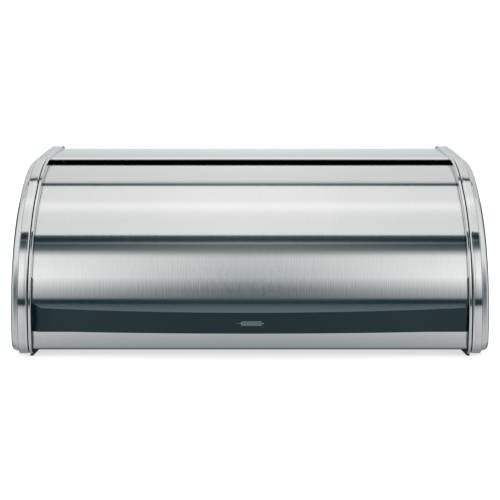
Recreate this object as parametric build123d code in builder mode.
"""Bread box with a roll top: two pressed end caps, a one-piece top and back shell, a base tray
with a front rail, and a curved steel lid that turns up and back on two side pivots.

Units are millimetres.  +X runs along the width, -Y is the front with the handle, +Z is up.
The origin is at the middle of the footprint, on the surface that the box stands on.
"""

from build123d import *

import os
from math import cos, radians, sin, sqrt

os.makedirs("parts", exist_ok=True)

# ---------------------------------------------------------------- driving dimensions
body_width = 445.0          # over both end caps
ring_depth = 267.0          # front to back of an end cap's outermost ring
ring_top = 165.0            # height of that ring's flat top
ring_bottom = 4.0           # height of its underside
middle_proud = 2.3          # the cap's middle ring stands this far outside the outer ring
bead_proud = 3.0            # the bead beside the lid stands this far outside it
groove_proud = 1.0          # bottom of the fine groove between middle ring and bead
handle_reach = 9.7          # the handle's middle is this far in front of the outer ring

# side outline of the box: a bow, a short straight, a wide crown and a flat top
bow_radius = 133.0
bow_height = 22.0           # height of the bow's centre
bow_angle = 63.0            # degrees of bow above the horizontal
crown_radius = 150.0
low_corner = 12.0
back_corner = 10.0

# stations across one end cap, measured outwards from the middle of the box
cap_mouth = 203.0
bead_end = 206.0
groove_end = 206.6
middle_end = 215.5
cap_end = body_width / 2
cap_wall = 0.9
cap_rim_radius = 5.0

# sheet metal and the lid
sheet = 0.8
lid_inset = 4.2             # the lid's skin lies this far inside the outer ring
lid_half_width = 202.5
lid_low = 26.5              # height of the lid's lower edge
lid_rear_depth = 167.0      # how far back the lid reaches under the top panel
lid_hem_radius = 1.6
panel_half_width = 202.8

# the lid's pivot
pivot_depth = 126.0
pivot_height = 32.0
pin_radius = 5.0            # the shoulder that the lid's bush runs on
pin_end_radius = 3.0        # the thin end through the liner
pin_head_radius = 9.0
pin_head_round = 1.0
pin_slot_length, pin_slot_width, pin_slot_depth = 13.0, 1.6, 1.2
nut_corner = 5.5            # from its middle to a corner
nut_thickness = 4.0
washer_radius = 9.5
bush_radius = 6.8
bush_flange_radius = 9.0
running_clearance = 0.05
opening_angle = 75.0

# the top panel falls slightly from its front lip to the back
lip_depth = 162.5
lip_top = 167.1
lip_hem_radius = 1.5
panel_back_height = 164.7
shell_inset = 0.8           # the back panel lies this far inside the outer ring
shell_corner = 9.0

# base tray and front rail
tray_underside = 6.0
rail_inset = 4.6
rail_top = 25.0
rail_bend = 4.0
rail_hem_radius = 1.5
tray_flange_top = 17.0
tray_back_flange_top = 27.0

# handle bar
handle_half_length = 201.2
handle_end_reach = -0.3     # its ends lie this far behind the outer ring's front
handle_bottom = 25.7
handle_top = 51.0           # where its sloping top face meets the lid
handle_brow_middle = 45.8   # height of its front top edge at the middle
handle_brow_end = 48.3      # and at both ends
handle_round = 1.2
handle_fit = 0.02           # gap between the bar and the lid's outer face

# ---------------------------------------------------------------- values worked out
box_depth = handle_reach + ring_depth + bead_proud
ring_front = handle_reach - box_depth / 2
ring_back = ring_front + ring_depth
lean = radians(bow_angle)
bow_center = (ring_front + bow_radius, bow_height)
straight = (
    ring_top - crown_radius * (1 - sin(lean)) - bow_height - bow_radius * sin(lean)
) / cos(lean)
crown_center = (
    bow_center[0] + (crown_radius - bow_radius) * cos(lean) + straight * sin(lean),
    ring_top - crown_radius,
)
lid_inner = lid_inset + sheet
pivot = (ring_front + pivot_depth, pivot_height)

# stations across the pivot, measured outwards
liner_outer = 205.1
arm_inner = 199.2
arm_outer = 201.0
bush_inner = 198.6
bush_outer = 202.0
washer_inner = 202.35
pin_head_outer = 198.2
pin_head_thickness = 2.2
pin_tip = 214.0
nut_inner = 209.5

SIDES = {"left": -1, "right": 1}


def place(depth, height):
    """A point of the side view, its depth counted from the outer ring's front."""
    return (ring_front + depth, height)


def side_plane(side, station):
    """The upright plane across the box at a station on the left (-1) or right (+1)."""
    return Plane.YZ.offset(side * station)


def side_face(proud):
    """The closed side outline of the box, shifted outwards by proud."""
    bow = bow_radius + proud
    crown = crown_radius + proud
    low = max(low_corner + proud, 1)
    high = max(back_corner + proud, 1)
    front, back = ring_front - proud, ring_back + proud
    top = ring_top + proud
    bottom = min(ring_bottom - proud, bow_height - low - 1)
    with BuildSketch() as outline:
        with BuildLine():
            Line((front, bottom + low), (front, bow_height))
            bow_arc = CenterArc(bow_center, bow, 180, -bow_angle)
            crown_arc = CenterArc(crown_center, crown, 180 - bow_angle, bow_angle - 90)
            Line(bow_arc @ 1, crown_arc @ 0)
            Line(crown_arc @ 1, (back - high, top))
            CenterArc((back - high, top - high), high, 90, -90)
            Line((back, top - high), (back, bottom + low))
            CenterArc((back - low, bottom + low), low, 0, -90)
            Line((back - low, bottom), (front + low, bottom))
            CenterArc((front + low, bottom + low), low, 270, -90)
        make_face()
    return outline.sketch


def lid_window(extra=0.0):
    """Keep only the stretch of a side outline that the lid covers."""
    margin = 20
    low = place(-margin, lid_low)
    high = place(lid_rear_depth + extra, ring_top + margin)
    with Locations(((low[0] + high[0]) / 2, (low[1] + high[1]) / 2)):
        Rectangle(high[0] - low[0], high[1] - low[1], mode=Mode.INTERSECT)


def block(side, near, far, drawing, mode=Mode.ADD, taper=0):
    """Extrude a side-view drawing between two stations of one side."""
    section = side_plane(side, near) * drawing
    extrude(section, amount=side * (far - near), taper=taper, mode=mode)


def discs(points, radius):
    """Equal discs in the side view, for posts, holes and screws."""
    with BuildSketch() as drawing:
        with Locations(*points):
            Circle(radius)
    return drawing.sketch


def crosses(points, length, width):
    """The cross slots of screws in the side view."""
    with BuildSketch() as drawing:
        with Locations(*points):
            Rectangle(length, width)
            Rectangle(width, length)
    return drawing.sketch


def keep(piece, name):
    """Label a finished piece and write it as its own STEP file."""
    piece.part.label = name
    export_step(piece.part, f"parts/{name}.step")


# ---------------------------------------------------------------- end caps and side liners
cap_bands = [               # station from, station to, proud of the outer ring
    (cap_mouth, bead_end, bead_proud),
    (bead_end, groove_end, groove_proud),
    (groove_end, middle_end, middle_proud),
    (middle_end, cap_end, 0.0),
]
cap_rim_hollow = 4.0        # the hollow is stepped this far inside the rounded rim
cap_hollows = [
    (cap_mouth, liner_outer, bead_proud - cap_wall),
    (liner_outer, groove_end + cap_wall, groove_proud - cap_wall),
    (groove_end + cap_wall, middle_end - cap_wall, middle_proud - cap_wall),
    (middle_end - cap_wall, cap_end - cap_rim_hollow, -cap_wall),
    (cap_end - cap_rim_hollow, cap_end - cap_wall, -cap_rim_hollow),
]
cap_post_places = [place(50, 45), place(215, 45), place(225, 140), place(115, 132)]
cap_post_radius = 4.5
cap_screw_radius = 1.5
cap_screw_head = 3.0
cap_screw_sink = 1.5        # depth of the countersunk head
cap_screw_tip = 214.0
cap_screw_hole_end = 215.0
screw_gap = 0.05            # between a screw or stem and its hole
slot_width = 0.7
cap_slot_length, cap_slot_depth = 3.2, 0.8
pan_slot_length, pan_head_round = 3.0, 0.7
shell_screw_places = [place(250, 128), place(250, 152)]
tray_screw_places = [place(30, 12), place(133, 12), place(236, 12)]
liner_boss_radius = 4.0
liner_boss_end = 213.0
boss_hole_end = 212.0
liner_gap = 0.05            # between the liner's edge and the cap around it
pivot_boss_radius = 11.0
rib_circle, rib_count = 16.0, 6
rib_length, rib_width, rib_height = 14.0, 1.6, 3.0
screw_radius = 1.45
screw_hole_radius = 1.5
screw_head_radius = 3.0
screw_head_thickness = 1.5
screw_tip = 211.5
flange_face = cap_mouth - sheet
buffer_radius = 4.0
buffer_squeeze_gap = 0.4    # between the closed buffer and the lid arm's lower edge
closed_buffer_place = place(40, lid_low - buffer_squeeze_gap - buffer_radius)
open_buffer_place = place(231, 29.4)
buffer_round = 1.0
buffer_inner = 197.0
buffer_stem_radius = 2.0
buffer_stem_end = 207.5
hem_rod_radius = 0.65
rod_end = 204.5
lip_rod_place = place(lip_depth, lip_top - lip_hem_radius)


def end_cap(side):
    """A deep pressed steel end: rounded outer ring, middle ring, groove and bead."""
    with BuildPart() as cap:
        for near, far, proud in cap_bands:
            block(side, near, far, side_face(proud))
        outer_face = cap.faces().sort_by(Axis.X)[-1 if side > 0 else 0]
        fillet(outer_face.edges(), cap_rim_radius)
        for near, far, proud in cap_hollows:
            block(side, near, far, side_face(proud), mode=Mode.SUBTRACT)
        block(side, liner_outer, cap_end - cap_wall / 2, discs(cap_post_places, cap_post_radius))
        block(side, liner_outer, cap_screw_hole_end,
              discs(cap_post_places, cap_screw_radius), mode=Mode.SUBTRACT)
    return cap


def side_liner(side):
    """The black moulded plate that closes a cap and carries pivot, screws and buffers."""
    bosses = shell_screw_places + tray_screw_places
    with BuildPart() as liner:
        block(side, cap_mouth, liner_outer, side_face(bead_proud - cap_wall - liner_gap))
        block(side, liner_outer, liner_boss_end, discs(bosses, liner_boss_radius))
        block(side, liner_outer, nut_inner, discs([pivot], pivot_boss_radius))
        with BuildSketch(side_plane(side, liner_outer)):
            with Locations(pivot):
                with PolarLocations(rib_circle, rib_count):
                    Rectangle(rib_length, rib_width)
        extrude(amount=side * rib_height)
        block(side, cap_mouth, boss_hole_end,
              discs(bosses, screw_hole_radius), mode=Mode.SUBTRACT)
        block(side, cap_mouth, liner_outer,
              discs(cap_post_places, cap_screw_radius), mode=Mode.SUBTRACT)
        block(side, cap_mouth, cap_mouth + cap_screw_sink,
              discs(cap_post_places, cap_screw_head), taper=45, mode=Mode.SUBTRACT)
        block(side, cap_mouth, pin_tip, discs([pivot], pin_end_radius + running_clearance),
              mode=Mode.SUBTRACT)
        block(side, cap_mouth, liner_outer, discs([closed_buffer_place, open_buffer_place],
              buffer_stem_radius), mode=Mode.SUBTRACT)
        block(side, cap_mouth, rod_end, discs([lip_rod_place], hem_rod_radius),
              mode=Mode.SUBTRACT)
    return liner


def cap_screws(side):
    """Countersunk screws, flush in the liner, that pull the cap's posts against it."""
    with BuildPart() as screws:
        block(side, cap_mouth, cap_screw_tip,
              discs(cap_post_places, cap_screw_radius - screw_gap))
        block(side, cap_mouth, cap_mouth + cap_screw_sink,
              discs(cap_post_places, cap_screw_head - screw_gap), taper=45)
        block(side, cap_mouth, cap_mouth + cap_slot_depth,
              crosses(cap_post_places, cap_slot_length, slot_width), mode=Mode.SUBTRACT)
    return screws


def pan_screws(side, points):
    """Pan-head screws from inside the box, through a steel flange into the liner's bosses."""
    with BuildPart() as screws:
        block(side, flange_face - screw_head_thickness, flange_face,
              discs(points, screw_head_radius))
        heads = screws.faces().filter_by(Axis.X).sort_by(Axis.X)
        crowns = heads[:len(points)] if side > 0 else heads[-len(points):]
        fillet([edge for face in crowns for edge in face.edges()], pan_head_round)
        block(side, flange_face, screw_tip, discs(points, screw_radius))
        block(side, flange_face - screw_head_thickness, flange_face - pan_head_round,
              crosses(points, pan_slot_length, slot_width), mode=Mode.SUBTRACT)
    return screws


# ---------------------------------------------------------------- pivots
def pivot_pin(side):
    """A shoulder pin: slotted head inside, bearing shoulder, thin end through the liner."""
    with BuildPart() as pin:
        block(side, pin_head_outer - pin_head_thickness, pin_head_outer,
              discs([pivot], pin_head_radius))
        head_face = pin.faces().sort_by(Axis.X)[0 if side > 0 else -1]
        fillet(head_face.edges(), pin_head_round)
        block(side, pin_head_outer, cap_mouth, discs([pivot], pin_radius))
        block(side, cap_mouth, pin_tip, discs([pivot], pin_end_radius))
        with BuildSketch(side_plane(side, pin_head_outer - pin_head_thickness)):
            with Locations(pivot):
                Rectangle(pin_slot_length, pin_slot_width)
        extrude(amount=side * pin_slot_depth, mode=Mode.SUBTRACT)
    return pin


def pivot_nut(side):
    """The hexagon nut that holds the pin, behind the liner and out of sight."""
    with BuildPart() as nut:
        with BuildSketch(side_plane(side, nut_inner)):
            with Locations(pivot):
                RegularPolygon(nut_corner, 6)
                Circle(pin_end_radius + running_clearance, mode=Mode.SUBTRACT)
        extrude(amount=side * nut_thickness)
    return nut


def pivot_washer(side):
    """A washer round the pin's shoulder, between the lid's bush and the liner."""
    with BuildPart() as washer:
        with BuildSketch(side_plane(side, washer_inner)):
            with Locations(pivot):
                Circle(washer_radius)
                Circle(pin_radius + running_clearance, mode=Mode.SUBTRACT)
        extrude(amount=side * (cap_mouth - washer_inner))
    return washer


def pivot_bush(side):
    """A flanged nylon bush pressed into the lid arm; it runs on the pin's shoulder."""
    with BuildPart() as bush:
        block(side, bush_inner, bush_outer, discs([pivot], bush_radius))
        block(side, arm_outer, bush_outer, discs([pivot], bush_flange_radius))
        block(side, bush_inner, bush_outer, discs([pivot], pin_radius + running_clearance),
              mode=Mode.SUBTRACT)
    return bush


def stop_buffer(side, point):
    """A rubber button with a stem in the liner, which the lid arm comes to rest on."""
    with BuildPart() as buffer:
        block(side, buffer_inner, cap_mouth, discs([point], buffer_radius))
        tip = buffer.faces().sort_by(Axis.X)[0 if side > 0 else -1]
        fillet(tip.edges(), buffer_round)
        block(side, cap_mouth, buffer_stem_end, discs([point], buffer_stem_radius - screw_gap))
    return buffer


# ---------------------------------------------------------------- fixed sheet metal
def bent_sheet(points, radii, side_of_path, half_width):
    """A sheet bent along a path in the side view, as wide as the box's mouth."""
    with BuildSketch(Plane.YZ.offset(-half_width)) as section:
        with BuildLine():
            FilletPolyline(*points, radius=radii)
            offset(amount=sheet, side=side_of_path)
        make_face()
    extrude(section.sketch, amount=2 * half_width)


def rolled_edge(point, radius, half_width):
    """A round hem along a sheet's edge, hollow for its rod."""
    for size, mode in ((radius, Mode.ADD), (hem_rod_radius + screw_gap, Mode.SUBTRACT)):
        block(1, -half_width, half_width, discs([point], size), mode=mode)


def hem_rod(point, half_length):
    """The wire inside a rolled edge."""
    with BuildPart() as rod:
        block(1, -half_length, half_length, discs([point], hem_rod_radius))
    return rod


rivet_height = 17.0
rivet_places = [(x, rivet_height) for x in (-160, -80, 0, 80, 160)]
rivet_radius = 1.6
rivet_head_height = 0.7
punch = 4.0                 # reach of the rivet holes to either side of a sheet
back_face = ring_back - shell_inset
ear_low, ear_high = 116.0, 161.0
ear_front, ear_back = 238.0, 258.0
ear_neck, ear_step = 14.0, 10.0

with BuildPart() as top_back_shell:
    bent_sheet(
        [place(lip_depth, lip_top), (back_face, panel_back_height), (back_face, tray_underside)],
        [shell_corner], Side.RIGHT, panel_half_width,
    )
    rolled_edge(lip_rod_place, lip_hem_radius, panel_half_width)
    for side in SIDES.values():
        with BuildSketch(side_plane(side, flange_face)):
            with BuildLine():
                Polyline(place(ear_front, ear_high), place(ear_back, ear_high),
                         (back_face - sheet, ear_high - shell_corner + 1),
                         (back_face - sheet, ear_low), place(ear_front + ear_neck, ear_low),
                         place(ear_front, ear_low + ear_step), close=True)
            make_face()
            with Locations(*shell_screw_places):
                Circle(screw_hole_radius, mode=Mode.SUBTRACT)
        extrude(amount=side * sheet)
    with BuildSketch(Plane.XZ.offset(-back_face)):
        with Locations(*rivet_places):
            Circle(rivet_radius + screw_gap)
    extrude(amount=punch, both=True, mode=Mode.SUBTRACT)
keep(top_back_shell, "top_back_shell")

rail_face = ring_front + rail_inset
tray_back = back_face - sheet
rail_rod_place = (rail_face + rail_hem_radius, rail_top - rail_hem_radius)
rear_bend = 2.0
tray_flange_front, tray_flange_back, tray_flange_corner = 14.0, 250.0, 4.0
tray_middle = tray_underside + sheet / 2

with BuildPart() as base_tray:
    bent_sheet(
        [(rail_face, rail_rod_place[1]), (rail_face, tray_underside),
         (tray_back, tray_underside), (tray_back, tray_back_flange_top)],
        [rail_bend, rear_bend], Side.LEFT, panel_half_width,
    )
    rolled_edge(rail_rod_place, rail_hem_radius, panel_half_width)
    for side in SIDES.values():
        with BuildSketch(side_plane(side, flange_face)):
            with BuildLine():
                Polyline(place(tray_flange_front, tray_middle),
                         place(tray_flange_front, tray_flange_top - tray_flange_corner),
                         place(tray_flange_front + tray_flange_corner, tray_flange_top),
                         place(tray_flange_back - tray_flange_corner, tray_flange_top),
                         place(tray_flange_back, tray_flange_top - tray_flange_corner),
                         place(tray_flange_back, tray_middle), close=True)
            make_face()
            with Locations(*tray_screw_places):
                Circle(screw_hole_radius, mode=Mode.SUBTRACT)
        extrude(amount=side * (panel_half_width - flange_face))
    with BuildSketch(Plane.XZ.offset(-tray_back)):
        with Locations(*rivet_places):
            Circle(rivet_radius + screw_gap)
    extrude(amount=punch, both=True, mode=Mode.SUBTRACT)
keep(base_tray, "base_tray")

with BuildPart() as seam_rivets:
    with BuildSketch(Plane.XZ.offset(-(tray_back - sheet))):
        with Locations(*rivet_places):
            Circle(rivet_radius)
    extrude(amount=-2 * sheet)
    for face_y, outward in ((tray_back - sheet, 1), (back_face, -1)):
        with BuildSketch(Plane.XZ.offset(-face_y)):
            with Locations(*rivet_places):
                Circle(2 * rivet_radius)
        extrude(amount=outward * rivet_head_height, taper=20)
keep(seam_rivets, "seam_rivets")

keep(hem_rod(lip_rod_place, rod_end), "lip_rod")
keep(hem_rod(rail_rod_place, panel_half_width), "rail_rod")

# ---------------------------------------------------------------- feet
foot_length = 30.0
foot_inner = 197.8
foot_outer = bead_end
bead_bottom = ring_bottom - bead_proud
foot_depths = {"front": 8.0, "rear": 228.0}
foot_mouth = cap_mouth - 0.1
foot_edge = 0.4             # upright edge above the foot's slanted inner side

for row, depth in foot_depths.items():
    for name, side in SIDES.items():
        with BuildPart() as foot:
            with BuildSketch(Plane.XZ.offset(-place(depth, 0)[0])):
                with BuildLine():
                    Polyline(
                        (side * foot_inner, tray_underside),
                        (side * foot_mouth, tray_underside),
                        (side * foot_mouth, bead_bottom),
                        (side * foot_outer, bead_bottom),
                        (side * foot_outer, 0),
                        (side * (foot_inner + tray_underside - foot_edge), 0),
                        (side * foot_inner, tray_underside - foot_edge),
                        close=True,
                    )
                make_face()
            extrude(amount=-foot_length)
        keep(foot, f"foot_{row}_{name}")

# ---------------------------------------------------------------- lid
handle_screw_x = (-140, -50, 50, 140)
handle_screw_height = 38.0
handle_screw_radius = 2.0
handle_hole_radius = 2.2
handle_hole_length = 20.0
lower_fold_depth, lower_fold_length, lower_fold_gap = 10.0, 10.0, 0.2
lower_fold_place = place(lower_fold_depth, lid_low + sheet / 2)
backing_thickness = 1.5
backing_low, backing_high = 30.0, 46.0
backing_half_length = 184.0
backing_window = 30.0       # depth of the window that cuts the strip from the lid's curve
lid_hem_place = place(lid_rear_depth, ring_top - lid_inset - lid_hem_radius)


def screw_row(x_places, height, start_depth, length, radius, mode=Mode.ADD):
    """Round pins or holes that run straight back from a depth."""
    row = discs([(x, height) for x in x_places], radius)
    extrude(Plane.XZ.offset(-place(start_depth, 0)[0]) * row, amount=-length, mode=mode)


with BuildPart() as lid_sheet:
    with BuildSketch(Plane.YZ.offset(-lid_half_width)):
        add(side_face(-lid_inset))
        add(side_face(-lid_inner), mode=Mode.SUBTRACT)
        lid_window()
    extrude(amount=2 * lid_half_width)
    with BuildSketch(Plane.YZ.offset(-arm_inner + lower_fold_gap)):
        with Locations(lower_fold_place):
            Rectangle(lower_fold_length, sheet)
    extrude(amount=2 * (arm_inner - lower_fold_gap))
    rolled_edge(lid_hem_place, lid_hem_radius, lid_half_width)
    screw_row(handle_screw_x, handle_screw_height, 0, handle_hole_length, handle_hole_radius,
              mode=Mode.SUBTRACT)
keep(lid_sheet, "lid_sheet")
keep(hem_rod(lid_hem_place, lid_half_width), "lid_hem_rod")


def spoke(angle, reach, width):
    """A straight spoke from the pivot, angle counted up from the front horizontal."""
    run = (-cos(radians(angle)), sin(radians(angle)))
    middle = (pivot[0] + run[0] * reach / 2, pivot[1] + run[1] * reach / 2)
    with Locations(Location((middle[0], middle[1], 0), (0, 0, 180 - angle))):
        Rectangle(reach, width)


arm_rear_angle = 104.0
rim_web = 16.0
flange_thickness = 1.2
flange_width = 10.0
hub_radius = 17.0
spokes = [                  # angle, reach from the pivot, width
    (4.0, 112.0, 18.0),
    (52.0, 112.0, 16.0),
    (98.0, 118.0, 16.0),
]
arm_behind_lid = -2.0       # the arm's web and flange end just short of the lid's rear edge
fold_slot_length = 12.0     # slot in the arm for the lid's lower fold


def lid_arm(side):
    """A pressed side arm: hub, three spokes, a curved web and the flange under the lid."""
    rear = radians(arm_rear_angle)
    far = 220.0              # beyond every edge that the wedge has to cut
    with BuildPart() as arm:
        with BuildSketch(side_plane(side, arm_inner)):
            add(side_face(-lid_inner))
            add(side_face(-lid_inner - rim_web), mode=Mode.SUBTRACT)
            lid_window(extra=arm_behind_lid)
            with BuildLine():
                Polyline((pivot[0], lid_low), (pivot[0] - far, lid_low), (pivot[0] - far, far),
                         (pivot[0] - far * cos(rear), pivot[1] + far * sin(rear)), pivot,
                         close=True)
            make_face(mode=Mode.INTERSECT)
            for angle, reach, width in spokes:
                spoke(angle, reach, width)
            with Locations(pivot):
                Circle(hub_radius)
                Circle(bush_radius, mode=Mode.SUBTRACT)
        extrude(amount=side * (arm_outer - arm_inner))
        with BuildSketch(side_plane(side, arm_inner)):
            add(side_face(-lid_inner))
            add(side_face(-lid_inner - flange_thickness), mode=Mode.SUBTRACT)
            lid_window(extra=arm_behind_lid)
        extrude(amount=-side * flange_width)
        with BuildSketch(side_plane(side, arm_inner - flange_width)):
            with Locations(lower_fold_place):
                Rectangle(fold_slot_length, sheet)
        extrude(amount=side * (flange_width + arm_outer - arm_inner), mode=Mode.SUBTRACT)
    return arm


with BuildPart() as handle_backing:
    with BuildSketch(Plane.YZ.offset(-backing_half_length)):
        add(side_face(-lid_inner))
        add(side_face(-lid_inner - backing_thickness), mode=Mode.SUBTRACT)
        with Locations(place(lower_fold_depth, (backing_low + backing_high) / 2)):
            Rectangle(backing_window, backing_high - backing_low, mode=Mode.INTERSECT)
    extrude(amount=2 * backing_half_length)
    screw_row(handle_screw_x, handle_screw_height, 0, handle_hole_length, handle_hole_radius,
              mode=Mode.SUBTRACT)
keep(handle_backing, "handle_backing")

handle_seat = 12.0          # depth behind the ring's front, inside the lid's curve
handle_heel = 0.3           # the bar's foot stays this far in front of the rail's hem
handle_pilot_start, handle_pilot_length = -0.2, 10.0
lid_skin_depth = bow_radius - sqrt((bow_radius - lid_inset) ** 2 - (handle_top - bow_height) ** 2)

with BuildPart() as handle_bar:
    for x, reach, brow in (
        (-handle_half_length, handle_end_reach, handle_brow_end),
        (0, handle_reach, handle_brow_middle),
        (handle_half_length, handle_end_reach, handle_brow_end),
    ):
        slope = (handle_top - brow) / (lid_skin_depth + reach)
        seat_height = handle_top + slope * (handle_seat - lid_skin_depth)
        with BuildSketch(Plane.YZ.offset(x)):
            with BuildLine():
                Polyline(place(handle_seat, handle_bottom), place(-reach, handle_bottom),
                         place(-reach, brow), place(handle_seat, seat_height), close=True)
            make_face()
    loft()
    brow_and_lip = handle_bar.edges().sort_by(Axis.Y)[:2]
    fillet(brow_and_lip, handle_round)
    with BuildSketch(Plane.YZ.offset(-body_width / 2)):
        with Locations(bow_center):
            Circle(bow_radius - lid_inset + handle_fit)
        with Locations(place(handle_seat, handle_bottom - 10)):
            Rectangle(2 * (handle_seat - rail_inset + handle_heel),
                      2 * (bow_height - handle_bottom + 10))
    extrude(amount=body_width, mode=Mode.SUBTRACT)
    screw_row(handle_screw_x, handle_screw_height, handle_pilot_start, handle_pilot_length,
              handle_screw_radius, mode=Mode.SUBTRACT)
keep(handle_bar, "handle_bar")

backing_face_depth = bow_radius - sqrt(
    (bow_radius - lid_inner - backing_thickness) ** 2 - (handle_screw_height - bow_height) ** 2
)
head_start = backing_face_depth + 0.6
head_radius, head_thickness = 3.6, 1.8
head_slot_length, head_slot_width, head_slot_depth = 4.0, 0.8, 1.0

with BuildPart() as handle_screws:
    screw_row(handle_screw_x, handle_screw_height, 0, head_start,
              handle_screw_radius - screw_gap)
    screw_row(handle_screw_x, handle_screw_height, head_start, head_thickness, head_radius)
    for x in handle_screw_x:
        with BuildSketch(Plane.XZ.offset(-place(head_start + head_thickness, 0)[0])):
            with Locations((x, handle_screw_height)):
                Rectangle(head_slot_length, head_slot_width)
                Rectangle(head_slot_width, head_slot_length)
        extrude(amount=head_slot_depth, mode=Mode.SUBTRACT)
keep(handle_screws, "handle_screws")

# ---------------------------------------------------------------- pieces that come in pairs
for name, side in SIDES.items():
    keep(end_cap(side), f"end_cap_{name}")
    keep(side_liner(side), f"side_liner_{name}")
    keep(cap_screws(side), f"cap_screws_{name}")
    keep(pan_screws(side, shell_screw_places), f"shell_screws_{name}")
    keep(pan_screws(side, tray_screw_places), f"tray_screws_{name}")
    keep(pivot_pin(side), f"pivot_pin_{name}")
    keep(pivot_nut(side), f"pivot_nut_{name}")
    keep(pivot_washer(side), f"pivot_washer_{name}")
    keep(pivot_bush(side), f"pivot_bush_{name}")
    keep(stop_buffer(side, closed_buffer_place), f"closed_buffer_{name}")
    keep(stop_buffer(side, open_buffer_place), f"open_buffer_{name}")
    keep(lid_arm(side), f"lid_arm_{name}")

print("box depth", round(box_depth, 2), "opening", opening_angle)
